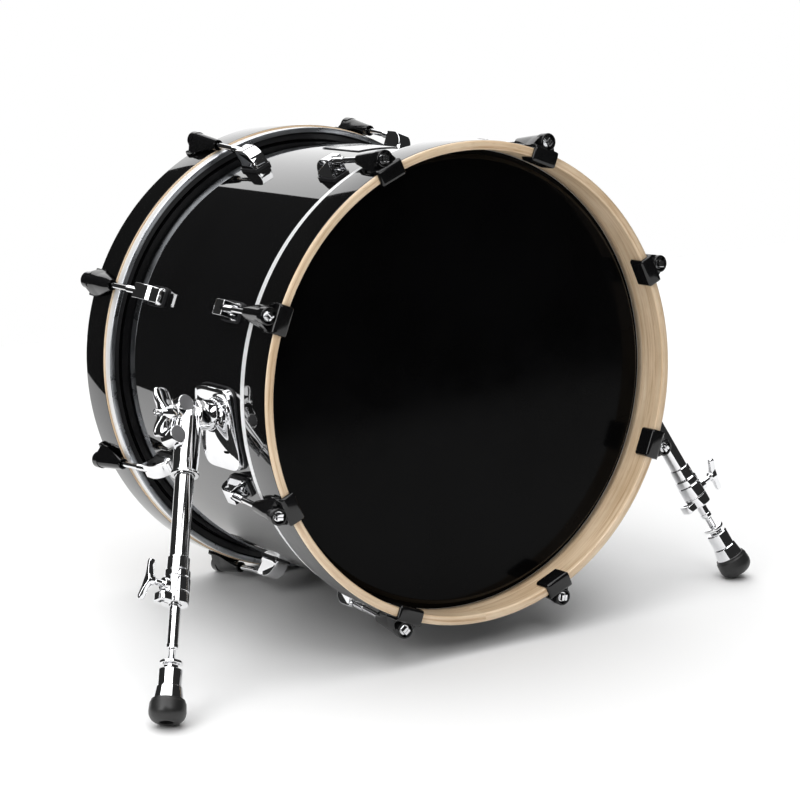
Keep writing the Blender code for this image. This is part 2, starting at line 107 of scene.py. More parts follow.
SHARP = 32                      # degrees between faces at which an edge stays sharp


def leg_frame(side):
    """X square to the leg and to the drum's axis, Z up the leg."""
    up = -Vector(joint(side + "_leg_extension")["axis"])
    origin = Vector(joint(side + "_spur_swing")["pos_m"]) - up * SWING_RISE
    return axes_matrix(DRUM.to_3x3().col[1].cross(up), up, origin)


def swing_frame(side):
    """X along the swing axis, Z as near up the leg as it can be."""
    swing = joint(side + "_spur_swing")
    x = Vector(swing["axis"])
    up = leg_frame(side).to_3x3().col[2]
    return axes_matrix(x, (up - x * up.dot(x)).normalized(), Vector(swing["pos_m"]))


# ---------- mesh helpers
def smooth(mesh, sharp=SHARP):
    """Shade a mesh smooth between its sharp edges."""
    mesh.shade_smooth()
    mesh.set_sharp_from_angle(angle=math.radians(sharp))
    return mesh


def mesh_from(bm, sharp=SHARP):
    """Turn a bmesh into a smooth mesh."""
    mesh = bpy.data.meshes.new("part")
    bm.to_mesh(mesh)
    bm.free()
    return smooth(mesh, sharp)


def finish_mesh(bm, sharp=SHARP):
    """Weld a new solid, point its faces outwards and make its mesh."""
    bmesh.ops.remove_doubles(bm, verts=bm.verts, dist=1e-6)
    bmesh.ops.recalc_face_normals(bm, faces=bm.faces)
    return mesh_from(bm, sharp)


def rounded(corners, steps=6):
    """A closed outline whose (u, v, fillet) corners are rounded."""
    points = []
    for k, (u, v, fillet) in enumerate(corners):
        here = Vector((u, v))
        before = Vector(corners[k - 1][:2]) - here
        after = Vector(corners[(k + 1) % len(corners)][:2]) - here
        opening = before.angle(after)
        setback = fillet / math.tan(opening / 2) if fillet else 0.0
        setback = min(setback, before.length * 0.98, after.length * 0.98)
        if setback < 1e-7 or abs(opening - math.pi) < 0.02:
            points.append(here)
            continue
        radius = setback * math.tan(opening / 2)
        start, end = here + before.normalized() * setback, here + after.normalized() * setback
        middle = (before.normalized() + after.normalized()).normalized()
        centre = here + middle * (radius / math.sin(opening / 2))
        first, last = start - centre, end - centre
        turn = first.angle_signed(last)
        for n in range(steps + 1):
            points.append(centre + Matrix.Rotation(-turn * n / steps, 2) @ first)
    return points


def revolve(outline, segments=48):
    """Turn a closed (radius, height) outline about Z; a zero radius is a pole."""
    bm = bmesh.new()
    rings = []
    for radius, height in outline:
        if radius < 1e-6:
            rings.append([bm.verts.new((0.0, 0.0, height))])
            continue
        rings.append([bm.verts.new((radius * math.cos(2 * math.pi * k / segments),
                                    radius * math.sin(2 * math.pi * k / segments), height))
                      for k in range(segments)])
    for here, there in zip(rings, rings[1:] + rings[:1]):
        if len(here) == 1 and len(there) == 1:
            continue
        for k in range(segments):
            after = (k + 1) % segments
            corners = [here[k % len(here)], here[after % len(here)],
                       there[after % len(there)], there[k % len(there)]]
            bm.faces.new(list(dict.fromkeys(corners)))
    return finish_mesh(bm)


def loft(rings, sharp=SHARP):
    """Join rings of equal length into one closed solid."""
    bm = bmesh.new()
    loops = [[bm.verts.new(point) for point in ring] for ring in rings]
    for here, there in zip(loops, loops[1:]):
        for k in range(len(here)):
            after = (k + 1) % len(here)
            bm.faces.new((here[k], here[after], there[after], there[k]))
    bm.faces.new(loops[0])
    bm.faces.new(loops[-1])
    return finish_mesh(bm, sharp)


def rectangle(u0, v0, u1, v1, fillet=0.0):
    """The outline of a rectangle with equal fillets."""
    return rounded([(u0, v0, fillet), (u1, v0, fillet), (u1, v1, fillet), (u0, v1, fillet)])


def block(outline, start, end):
    """Extrude a closed (x, y) outline along Z, from start to end."""
    return loft([[(x, y, z) for x, y in outline] for z in (start, end)])


def from_to(start, end):
    """The matrix that puts the Z axis on the line from start to end."""
    start, end = Vector(start), Vector(end)
    return Matrix.Translation(start) @ (end - start).to_track_quat("Z", "Y").to_matrix().to_4x4()


def moved(mesh, matrix):
    """The same mesh, transformed in place."""
    mesh.transform(matrix)
    return mesh


def turned_between(outline, start, end, segments=40):
    """A turned solid whose heights run along the line from start to end."""
    return moved(revolve(outline, segments), from_to(start, end))


def cylinder(start, end, radius, edge=0.0, segments=40):
    """A cylinder with softened ends."""
    length = (Vector(end) - Vector(start)).length
    outline = rounded([(0, 0, 0), (radius, 0, edge), (radius, length, edge), (0, length, 0)], 4)
    return turned_between(outline, start, end, segments)


def evaluated(mesh, modifiers):
    """The mesh with (type, settings) modifiers applied; a mesh setting becomes a helper object."""
    base = bpy.data.objects.new("base", mesh)
    bpy.context.scene.collection.objects.link(base)
    helpers = [base]
    for kind, settings in modifiers:
        modifier = base.modifiers.new(kind, kind)
        for key, value in settings.items():
            if isinstance(value, bpy.types.Mesh):
                value = bpy.data.objects.new("tool", value)
                bpy.context.scene.collection.objects.link(value)
                helpers.append(value)
            setattr(modifier, key, value)
    bpy.context.view_layer.update()
    graph = bpy.context.evaluated_depsgraph_get()
    result = bpy.data.meshes.new_from_object(base.evaluated_get(graph))
    for helper in helpers:
        bpy.data.objects.remove(helper, do_unlink=True)
    return smooth(result)


def combine(base, *steps):
    """Join or cut meshes one after another; steps are (operation, mesh) pairs."""
    return evaluated(base, [("BOOLEAN", {"operation": operation, "solver": "EXACT", "object": mesh})
                            for operation, mesh in steps])


def softened(mesh, width, segments=3):
    """Round a mesh's sharp edges."""
    return evaluated(mesh, [("BEVEL", {"width": width, "segments": segments,
                                       "limit_method": "ANGLE", "angle_limit": math.radians(35)})])


def joined(*meshes):
    """Several closed meshes in one."""
    bm = bmesh.new()
    for mesh in meshes:
        bm.from_mesh(mesh)
    return mesh_from(bm)


def mirrored(mesh):
    """A copy reflected in X, with its faces still pointing out."""
    bm = bmesh.new()
    bm.from_mesh(mesh)
    bm.transform(Matrix.Diagonal((-1.0, 1.0, 1.0, 1.0)))
    bmesh.ops.reverse_faces(bm, faces=bm.faces)
    return mesh_from(bm)


def superellipse(centre, right, up, half_right, half_up, power, steps=64):
    """A ring between an ellipse (power 1) and a rectangle (power 0)."""
    points = []
    for k in range(steps):
        angle = 2 * math.pi * (k + 0.5) / steps
        c, s = math.cos(angle), math.sin(angle)
        points.append(centre + right * (math.copysign(abs(c) ** power, c) * half_right)
                      + up * (math.copysign(abs(s) ** power, s) * half_up))
    return points


def piece(name, mesh, materials, matrix, body, replaced=()):
    """A visible piece, with its place written into its mesh, riding on a CAD body."""
    mesh = mesh.copy()
    mesh.name = name
    mesh.transform(matrix)
    for material in materials if isinstance(materials, list) else [materials]:
        mesh.materials.append(material)
    obj = bpy.data.objects.new(name, mesh)
    bpy.context.scene.collection.objects.link(obj)
    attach(obj, body)
    if replaced:
        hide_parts(*replaced)


# ---------- materials
class Nodes:
    """A small builder for one material's node tree."""

    def __init__(self, name):
        self.material = bpy.data.materials.new(name)
        self.material.use_nodes = True
        self.tree = self.material.node_tree
        self.shader = self.tree.nodes["Principled BSDF"]

    def add(self, kind, inputs=None, **settings):
        node = self.tree.nodes.new(kind)
        for key, value in settings.items():
            setattr(node, key, value)
        for key, value in (inputs or {}).items():
            self.put(node, key, value)
        return node

    def put(self, node, key, value):
        if isinstance(value, bpy.types.NodeSocket):
            self.tree.links.new(value, node.inputs[key])
        else:
            node.inputs[key].default_value = value

    def set(self, **inputs):
        for key, value in inputs.items():
            self.put(self.shader, key.replace("_", " "), value)

    def place(self, matrix=None, scale=(1, 1, 1)):
        """Object coordinates, in a local frame if a matrix is given, then stretched."""
        out = self.add("ShaderNodeTexCoord").outputs["Object"]
        if matrix is not None:
            turn = matrix.inverted()
            out = self.add("ShaderNodeMapping", {"Vector": out, "Location": turn.translation,
                                                 "Rotation": turn.to_euler()}).outputs[0]
        return self.add("ShaderNodeMapping", {"Vector": out, "Scale": scale}).outputs[0]

    def noise(self, vector, scale, detail=3.0, roughness=0.5):
        return self.add("ShaderNodeTexNoise", {"Vector": vector, "Scale": scale, "Detail": detail,
                                               "Roughness": roughness}).outputs["Fac"]

    def span(self, value, low, high, at=(0.0, 1.0)):
        """Map a 0..1 value to low..high."""
        return self.add("ShaderNodeMapRange", {"Value": value, "From Min": at[0], "From Max": at[1],
                                               "To Min": low, "To Max": high}).outputs[0]

    def ramp(self, value, *stops):
        node = self.add("ShaderNodeValToRGB", {"Fac": value})
        elements = node.color_ramp.elements
        while len(elements) < len(stops):
            elements.new(0.5)
        for element, (position, colour) in zip(elements, stops):
            element.position = position
            element.color = (*colour, 1.0)
        return node.outputs["Color"]

    def multiply(self, factor, first, second):
        """Two colours multiplied; 6 and 7 are the node's colour inputs and 2 its colour output."""
        return self.add("ShaderNodeMix", {"Factor": factor, 6: first, 7: second}, data_type="RGBA",
                        blend_type="MULTIPLY").outputs[2]

    def bump(self, height, strength, distance):
        self.put(self.shader, "Normal", self.add(
            "ShaderNodeBump", {"Height": height, "Strength": strength, "Distance": distance}).outputs[0])


def gloss(name, dark, light, roughness, ior, coat=0.0, ripple=0.0):
    """A smooth lacquer, film or enamel with faint unevenness in tone and polish."""
    n = Nodes(name)
    cloud = n.noise(n.place(), 9.0, 4.0)
    n.set(Base_Color=n.ramp(cloud, (0.3, dark), (0.7, light)),
          Roughness=n.span(n.noise(n.place(), 40.0, 5.0), roughness * 0.8, roughness * 1.25, (0.3, 0.7)),
          IOR=ior, Coat_Weight=coat, Coat_IOR=1.6, Coat_Roughness=roughness * 0.6)
    if ripple:
        n.bump(n.noise(n.place(), 22.0, 2.0), 0.25, ripple)
    return n.material


def metal(name, dark, light, roughness, stretch=(1, 1, 1), scale=60.0, ripple=0.0, matrix=None):
    """Plated or anodised metal; stretch makes its grain run along one direction."""
    n = Nodes(name)
    grain = n.noise(n.place(matrix, stretch), scale, 5.0)
    n.set(Base_Color=n.ramp(grain, (0.25, dark), (0.75, light)), Metallic=1.0,
          Roughness=n.span(grain, roughness * 0.7, roughness * 1.4, (0.25, 0.75)))
    if ripple:
        n.bump(n.noise(n.place(matrix, stretch), scale * 0.5, 3.0), 0.3, ripple)
    return n.material


def satin(name, dark, light, roughness, metallic):
    """A pale anodised finish with fine turning marks round the drum."""
    n = Nodes(name)
    marks = n.noise(n.place(DRUM, (0.4, 900.0, 0.4)), 3.0, 3.0)
    n.set(Base_Color=n.ramp(marks, (0.3, dark), (0.7, light)), Metallic=metallic,
          Roughness=n.span(marks, roughness * 0.9, roughness * 1.1, (0.3, 0.7)))
    return n.material


def maple(name):
    """Bent maple plies: long pale brown streaks round the hoop under a clear satin coat."""
    n = Nodes(name)
    split = n.add("ShaderNodeSeparateXYZ", {"Vector": n.place(DRUM)})
    x, y, z = split.outputs
    around = n.add("ShaderNodeMath", {0: x, 1: z}, operation="ARCTAN2").outputs[0]
    square = n.add("ShaderNodeMath", {0: x, 1: x}, operation="MULTIPLY").outputs[0]
    radius = n.add("ShaderNodeMath", {0: z, 1: z, 2: square}, operation="MULTIPLY_ADD").outputs[0]
    radius = n.add("ShaderNodeMath", {0: radius}, operation="SQRT").outputs[0]
    length = n.add("ShaderNodeMath", {0: around, 1: HOOP_RADIUS}, operation="MULTIPLY").outputs[0]

    def grain(along, across):
        vector = n.add("ShaderNodeCombineXYZ", {"X": length, "Y": y, "Z": radius}).outputs[0]
        stretch = (along, across, across)
        return n.add("ShaderNodeMapping", {"Vector": vector, "Scale": stretch}).outputs[0]

    streak = n.noise(grain(9.0, 330.0), 1.0, 5.0, 0.62)
    figure = n.noise(grain(16.0, 60.0), 1.0, 3.0)
    fleck = n.noise(grain(90.0, 900.0), 1.0, 2.0)
    base = n.ramp(streak, (0.30, (0.58, 0.38, 0.22)), (0.43, (0.80, 0.60, 0.40)),
                  (0.56, (0.88, 0.70, 0.50)), (0.75, (0.92, 0.77, 0.58)))
    tone = n.ramp(figure, (0.30, (0.80, 0.76, 0.70)), (0.70, (1.0, 1.0, 1.0)))
    speck = n.ramp(fleck, (0.25, (0.72, 0.62, 0.50)), (0.42, (1.0, 1.0, 1.0)))
    colour = n.multiply(0.6, n.multiply(1.0, base, tone), speck)
    n.set(Base_Color=colour, Roughness=n.span(streak, 0.30, 0.42), Coat_Weight=0.35,
          Coat_Roughness=0.18)
    n.bump(streak, 0.10, 0.0004)
    return n.material


def mesh_weave(name):
    """Black woven mesh for the batter head."""
    n = Nodes(name)
    at = n.place(DRUM)
    waves = [n.add("ShaderNodeTexWave", {"Vector": at, "Scale": 160.0},
                   bands_direction=direction).outputs["Fac"] for direction in ("X", "Z")]
    both = n.add("ShaderNodeMath", {0: waves[0], 1: waves[1]}, operation="MULTIPLY").outputs[0]
    n.set(Base_Color=n.ramp(both, (0.1, (0.006, 0.006, 0.007)), (0.9, (0.035, 0.035, 0.038))),
          Roughness=0.5, IOR=1.35)
    n.bump(both, 0.5, 0.0003)
    return n.material


LACQUER = gloss("black_lacquer", (0.0015, 0.0015, 0.0017), (0.003, 0.003, 0.0033), 0.03, 1.75, 0.5)
HOOP_LACQUER = gloss("hoop_lacquer", (0.002, 0.002, 0.002), (0.004, 0.004, 0.004), 0.05, 1.6, 0.4,
                     0.0003)
FILM = gloss("black_film", (0.0012, 0.0012, 0.0013), (0.0024, 0.0024, 0.0026), 0.12, 1.14)
ENAMEL = gloss("black_enamel", (0.003, 0.003, 0.0032), (0.006, 0.006, 0.0064), 0.13, 1.42, 0.15,
               0.0002)
# Black of the gaskets under the lugs and the spur brackets, and also painted shade: the shadow line round
# the top plate and the gap inside each flesh hoop.
GASKET_BLACK_AND_SHADE = gloss("gasket_black_and_painted_shade", (0.012, 0.012, 0.013), (0.03, 0.03, 0.032), 0.35, 1.45)
GREY_CAP = gloss("grey_cap", (0.10, 0.10, 0.105), (0.18, 0.18, 0.185), 0.30, 1.45)
RUBBER = gloss("moulded_rubber", (0.010, 0.010, 0.010), (0.024, 0.024, 0.024), 0.38, 1.5, 0.0, 0.0004)
CHROME = metal("polished_chrome", (0.80, 0.805, 0.82), (0.90, 0.90, 0.91), 0.05)
ROD_CHROME = metal("rod_chrome", (0.76, 0.765, 0.78), (0.88, 0.88, 0.89), 0.09, scale=300.0)
RING = satin("satin_ring", (0.86, 0.87, 0.88), (0.93, 0.935, 0.94), 0.34, 0.25)
# The ring's end face: the ring's metal made darker than its side, as painted shade.
RING_FACE_SHADED = metal("ring_end_face_painted_shade", (0.50, 0.52, 0.55), (0.60, 0.62, 0.65), 0.30)
PLATE = metal("brushed_plate", (0.60, 0.60, 0.61), (0.72, 0.72, 0.73), 0.16, (60, 1, 60), 14.0,
              0.00005, DRUM)
MAPLE = maple("clear_maple")
WEAVE = mesh_weave("black_mesh")


# ---------- shell, hoops, heads
END_TURNS = {"front": Matrix.Rotation(math.pi / 2, 4, "X"),
             "rear": Matrix.Rotation(-math.pi / 2, 4, "X")}


def sleeve(inner, outer):
    """A round wall about the drum's axis that reaches past both ends of the drum."""
    outline = [(inner, -PAST_ENDS), (outer, -PAST_ENDS), (outer, PAST_ENDS), (inner, PAST_ENDS)]
    return moved(revolve(outline, SOLID_STEPS), END_TURNS["front"])


def build_shell():
    """The wooden shell with its bearing edges."""
    outer, inner = SHELL_RADIUS, SHELL_RADIUS - 0.0075
    end = rounded([(outer, 0.0, 0), (outer, EDGE - 0.0055, 0.003), (outer - 0.0045, EDGE, 0.0012),
                   (inner, EDGE - 0.003, 0), (inner, 0.0, 0)])[1:-1]
    outline = end + [(r, -h) for r, h in reversed(end)]
    piece("shell_wall", revolve(outline, SOLID_STEPS), LACQUER, DRUM @ END_TURNS["front"], "drum",
          ["shell"])


def hoop_mesh():
    """The hoop, with the lacquered outer side as its second material."""
    rim, back = HALF_LENGTH, HALF_LENGTH - HOOP_DEPTH
    outline = rounded([(HOOP_INNER, back, 0.0006), (HOOP_RADIUS, back, 0.0006),
                       (HOOP_RADIUS, rim, 0.0032), (HOOP_INNER, rim, 0.0021)], 8)
    mesh = revolve(outline, SOLID_STEPS)
    for face in mesh.polygons:
        if all(mesh.vertices[v].co.xy.length > HOOP_RADIUS - 0.0003 for v in face.vertices):
            face.material_index = 1
    return mesh


def head_mesh():
    """The film, stepping down over the bearing edge into the flesh hoop, and its dark crimp."""
    face, film = EDGE + 0.0009, 0.0006
    crimp, deep = HALF_LENGTH - HOOP_DEPTH + 0.0004, HALF_LENGTH - HOOP_DEPTH - 0.004
    lip, wall = HOOP_INNER - 0.0004, FLESH_INNER - 0.0004
    top = [(0.0, face, 0), (SHELL_RADIUS - 0.0035, face, 0.0015), (wall, face - 0.005, 0.002),
           (wall, crimp, 0.0002), (lip, crimp, 0.0004), (lip, crimp - 0.0003, 0),
           (wall, crimp - 0.0003, 0), (wall, deep, 0)]
    inside = wall - film
    low = [(inside, deep, 0), (inside, face - 0.005, 0.0015),
           (SHELL_RADIUS - 0.0038, face - film, 0.001), (0.0, face - film, 0)]
    return revolve(rounded(top + low, 5), SOLID_STEPS)


def flesh_mesh():
    """The metal flesh hoop: a tall outer ring with a flange inside it.

    Its end face is the second material, a darker copy of the ring's metal as painted shade; the crimped
    inside is the third, black as painted shade in the gap under the hoop and standing also for the head's
    dark glued collar.
    """
    top = HALF_LENGTH - HOOP_DEPTH - 0.0003
    bottom, flange = top - FLESH_HEIGHT, top - 0.0065
    mesh = revolve(rounded([(FLESH_INNER, flange, 0.0005), (FLESH_RING, flange, 0.0015),
                            (FLESH_RING, bottom, 0.0012), (FLESH_RADIUS, bottom, 0.0016),
                            (FLESH_RADIUS, top, 0.0008), (FLESH_INNER, top, 0.0005)]), SOLID_STEPS)
    for face in mesh.polygons:
        corners = [mesh.vertices[v].co for v in face.vertices]
        # the crimped inside: black, as painted shade in the gap under the hoop, standing also for the head's
        # dark glued collar
        if all(c.xy.length < FLESH_RING + 0.0003 for c in corners):
            face.material_index = 2
        # the end face: the darker metal, as painted shade
        elif all(c.z < bottom + 0.0010 for c in corners):
            face.material_index = 1
    return mesh


def build_ends():
    """Both ends' hoops, heads and flesh hoops."""
    hoop, head, flesh = hoop_mesh(), head_mesh(), flesh_mesh()
    for end, turn in END_TURNS.items():
        body = end + "_tension_set"
        place = DRUM @ turn
        piece(end + "_wood_hoop", hoop, [MAPLE, HOOP_LACQUER], place, body,
              [end + "_hoop"])
        film = FILM if end == "front" else WEAVE
        piece(end + "_head_film", head, film, place, body, [end + "_head"])
        # the flesh ring's end face and its inside carry painted shade
        piece(end + "_flesh_ring", flesh, [RING, RING_FACE_SHADED, GASKET_BLACK_AND_SHADE], place, body,
              [end + "_flesh_hoop"])


def build_plate():
    """The plain plate on top of the shell, with a dark shadow line round it."""
    low, high = local_box("badge", DRUM)
    half_width = high.x / SHELL_RADIUS

    def sheet(edge, bottom, top):
        rings = []
        for y in (low.y + edge, high.y - edge):
            ring = []
            for radius, way in ((top, 1), (bottom, -1)):
                for k in range(25):
                    angle = way * (half_width - edge / SHELL_RADIUS) * (k / 12 - 1)
                    ring.append((radius * math.sin(angle), y, radius * math.cos(angle)))
            rings.append(ring)
        return softened(loft(rings), 0.0002, 2)

    base = SHELL_RADIUS + 0.0003
    piece("top_plate", sheet(0.0009, base + 0.0001, base + 0.0009), PLATE, DRUM, "drum",
          ["badge"])
    # A black sheet a little wider than the plate: the dark line round the plate is painted shadow.
    piece("top_plate_painted_shadow_line", sheet(0.0, base, base + 0.0004), GASKET_BLACK_AND_SHADE, DRUM, "drum")


# ---------- lugs, rods and claws
def at(t, radius, x=0.0):
    """A point of a fitting at the top of the drum, by its distance from the rim."""
    return Vector((x, t - HALF_LENGTH, radius))


def rod_height(t):
    """How far the tension rod's axis is from the drum's axis."""
    return ROD_HEAD_RADIUS - ROD_SLOPE * (t - ROD_HEAD_T)


def on_rod(t, off=0.0):
    """A point on the tension rod's axis, or off it outwards."""
    return at(t, rod_height(t) + off)


def fitting_places(kind):
    """The places of one kind of fitting, read from its CAD nodes."""
    for end in ("front", "rear"):
        number = 1
        while f"{end}_{kind}_{number}" in frame["nodes"]:
            low, high = local_box(f"{end}_{kind}_{number}", DRUM)
            middle = (low + high) / 2
            angle = round(math.atan2(middle.x, middle.z) / math.radians(7.5)) * math.radians(7.5)
            place = Matrix.Rotation(angle, 4, "Y")
            if end == "rear":
                place = place @ Matrix.Rotation(math.pi, 4, "Z")
            yield end, number, DRUM @ place
            number += 1


def lug_meshes():
    """The casting, the gasket under it, and the rough threaded part of the rod before it."""
    foot, top, length, half_width = SHELL_RADIUS + 0.0030, 0.2513, 0.0305, 0.0080

    def footprint(radius, wider, longer, power, steps):
        return superellipse(at(LUG_T + length / 2 + 0.0005, radius), X_AXIS, Y_AXIS,
                            half_width + wider, length / 2 + longer, power, steps)

    outline = rounded([(LUG_T, foot, 0.0), (LUG_T, top, 0.0008), (LUG_T + length, top, 0.0185),
                       (LUG_T + length, foot, 0.0)], 16)
    casting = loft([[at(t, r, x) for t, r in outline] for x in (-half_width, half_width)])
    casting = softened(casting, 0.0012, 4)
    skirt = loft([footprint(r, grow, grow * 0.5, 0.30, 64)
                  for r, grow in ((foot, 0.0016), (foot + 0.0035, 0.0014), (foot + 0.0062, -0.0002))])
    cave = rounded([(-0.0056, 0.0, 0), (0.0056, 0.0, 0), (0.0056, -0.0150, 0.003),
                    (-0.0056, -0.0150, 0.003)])
    mouth = loft([[at(t, top - 0.0042 + y * share * 0.9, x * share) for x, y in cave]
                  for t, share in ((LUG_T - 0.002, 1.0), (LUG_T + 0.008, 0.86))])
    arch = cylinder(on_rod(LUG_T - 0.006), on_rod(LUG_T + 0.0065), 0.0047, segments=48)
    drop = -0.0004                  # the bore lies this far below the rod's axis
    bore = cylinder(on_rod(LUG_T - 0.01, drop), on_rod(ROD_END_T + 0.004, drop), 0.0038, segments=32)
    casting = combine(casting, ("UNION", skirt), ("DIFFERENCE", mouth), ("DIFFERENCE", arch),
                      ("DIFFERENCE", bore))

    slab = loft([footprint(r, 0.0030, 0.0020, 0.34, 72) for r in (SHELL_RADIUS - 0.004, foot - 0.0001)])
    gasket = combine(slab, ("DIFFERENCE", sleeve(0.0, SHELL_RADIUS + 0.0001)))

    pitch, turns, root, crest = 0.001, 19, 0.00350, 0.00375
    outline = [(0.0032, 0.0), (0.0034, 0.0)]
    for k in range(turns):
        outline += [(crest, 0.0006 + pitch * k), (root, 0.0011 + pitch * k)]
    outline += [(0.0036, 0.0200), (0.0036, 0.0210), (0.0032, 0.0210)]
    thread = turned_between(outline, on_rod(LUG_T - 0.0170), on_rod(LUG_T + 0.02), 32)
    return casting, gasket, thread


def clamped(value):
    """The value, kept between 0 and 1."""
    return max(0.0, min(1.0, value))


def claw_mesh():
    """The black claw: a hook over the rim, a boss round the key head and a tapering nose."""
    lip = HOOP_INNER - 0.0012       # the inner side of the hoop, with its play
    under, seat = lip - 0.0030, HOOP_RADIUS + 0.0004
    back, top = HOOP_RADIUS + 0.0024, HOOP_RADIUS + 0.0040
    hook_corners = [(0.016, under, 0.0006), (-0.004, under, 0.0035), (-0.004, top, 0.0048),
                    (0.0060, top, 0.0020), (0.0085, back, 0.0010), (0.017, back, 0.0008),
                    (0.017, seat, 0.0003), (-0.0004, seat, 0.0005), (-0.0004, lip, 0.0005),
                    (0.016, lip, 0.0006)]
    half_width, turn, steps = 0.015, 0.0032, 8
    rings = []
    for k in (*range(-steps, 0), *range(1, steps + 1)):
        angle = abs(k) / steps * math.pi / 2
        pull = turn * (1 - math.cos(angle)) * 0.8
        x = math.copysign(half_width - turn * (1 - math.sin(angle)), k)
        ring = []
        for t, r in rounded(hook_corners):
            outer_front = clamped((-t - 0.0015) / 0.002)
            low_lip = clamped((lip - 0.0012 - r) / 0.0015)
            high = clamped((r - HOOP_RADIUS - 0.0015) / 0.002)
            ring.append(at(t + pull * outer_front, r + pull * 0.35 * low_lip - pull * 0.3 * high, x))
        rings.append(ring)
    hook = loft(rings, sharp=45)
    corners = rounded([(-half_width, lip - 0.0031, 0.0040), (half_width, lip - 0.0031, 0.0040),
                       (half_width, HOOP_RADIUS + 0.0060, 0.0030),
                       (-half_width, HOOP_RADIUS + 0.0060, 0.0030)])
    envelope = loft([[at(t, r, x) for x, r in corners] for t in (-0.006, 0.020)])
    hook = combine(hook, ("INTERSECT", envelope))

    first, last, steps, arc = 0.0045, 0.049, 24, 32
    rings = []
    for k in range(steps + 1):
        t = first + (last - first) * k / steps
        share = k / steps
        radius = 0.0090 - 0.0032 * share
        width = 0.0058 + 0.0090 * (1 - share ** 1.45)
        axis = rod_height(t)
        wide = clamped((width - radius) / 0.0050)
        low = HOOP_RADIUS + 0.0006 + 0.0030 * math.sin(math.pi * max(0.0, (t - 0.014) / (last - 0.014)))
        low = low + (axis - radius - low) * share ** 5
        edge = axis + (back - axis) * wide
        ring = []
        for n in range(arc + 1):
            u = math.cos(math.pi * n / arc)
            round_part, bell = math.sqrt(max(0.0, 1 - u * u)), (1 - u * u) ** 1.1
            ring.append(at(t, edge + (axis + radius - edge) * (round_part * (1 - wide) + bell * wide),
                           width * u))
        for n in range(1, arc):
            u = -math.cos(math.pi * n / arc)
            fall = math.sqrt(1 - u * u) ** (0.25 + 0.75 * share)
            ring.append(at(t, edge - (edge - low) * fall, width * u))
        rings.append(ring)
    nose = loft(rings, sharp=40)
    boss = turned_between(rounded([(0, 0, 0), (0.0090, 0, 0.0014), (0.0090, 0.010, 0.0), (0, 0.010, 0)], 5),
                          on_rod(-0.0012), on_rod(0.010), 56)
    recess = cylinder(on_rod(-0.02), on_rod(0.0035), 0.0071, segments=48)
    hole = cylinder(on_rod(0.036), on_rod(0.06), 0.0043, segments=32)
    return combine(hook, ("UNION", nose), ("UNION", boss), ("DIFFERENCE", recess), ("DIFFERENCE", hole))


def rod_mesh():
    """The tension rod with its washer and slotted square key head."""
    washer = turned_between(rounded([(0.0, 0.0, 0), (0.0050, 0.0, 0.0004), (0.0061, 0.0008, 0.0003),
                                     (0.0061, 0.0017, 0.0002), (0.0, 0.0017, 0)]),
                            on_rod(0.0018), on_rod(0.01), 40)
    side = 0.0033
    square = softened(block(rectangle(-side, -side, side, side, 0.0006), 0.0, 0.0052), 0.0004, 2)
    slot = block(rectangle(-0.0006, -0.005, 0.0006, 0.005), -0.002, 0.0018)
    head = moved(combine(square, ("DIFFERENCE", slot)),
                 from_to(on_rod(-0.0030), on_rod(0.01)) @ Matrix.Rotation(0.5, 4, "Z"))
    shaft = cylinder(on_rod(0.0022), on_rod(ROD_END_T), ROD_RADIUS, 0.0006, 28)
    return joined(washer, head, shaft)


def build_tension():
    """The lugs on the shell, and the claws and rods that hold both hoops."""
    casting, gasket, thread = lug_meshes()
    claw, rod = claw_mesh(), rod_mesh()
    for end, number, place in fitting_places("lug"):
        tag = f"{end}_{number}"
        piece(f"lug_casting_{tag}", casting, CHROME, place, "drum", [f"{end}_lug_{number}"])
        piece(f"lug_gasket_{tag}", gasket, GASKET_BLACK_AND_SHADE, place, "drum")
        piece(f"rod_thread_{tag}", thread, ROD_CHROME, place, end + "_tension_set")
    for end, number, place in fitting_places("claw_rod"):
        tag = f"{end}_{number}"
        body = end + "_tension_set"
        piece(f"claw_{tag}", claw, ENAMEL, place, body, [f"{end}_claw_rod_{number}"])
        piece(f"tension_rod_{tag}", rod, ROD_CHROME, place, body)


# ---------- spurs
BARREL_RADIUS = 0.0155
BARREL_JOINT = -0.0235          # the face between the bracket and the turning knuckle
TUBE_RADIUS = 0.0095
COLLAR_END = 0.197              # these two are distances down the leg from its origin
WING_BOLT = 0.179
ROD_REACH = 0.0695              # from the inner rod's shoulder to the tip of its spike
NUT_TURN = math.radians(13)
BOLT_TURN = math.radians(23)


def down(*corners, steps=6):
    """A turned outline along the leg: (radius, distance down, fillet) corners."""
    return [(p[0], -p[1]) for p in rounded(corners, steps)]


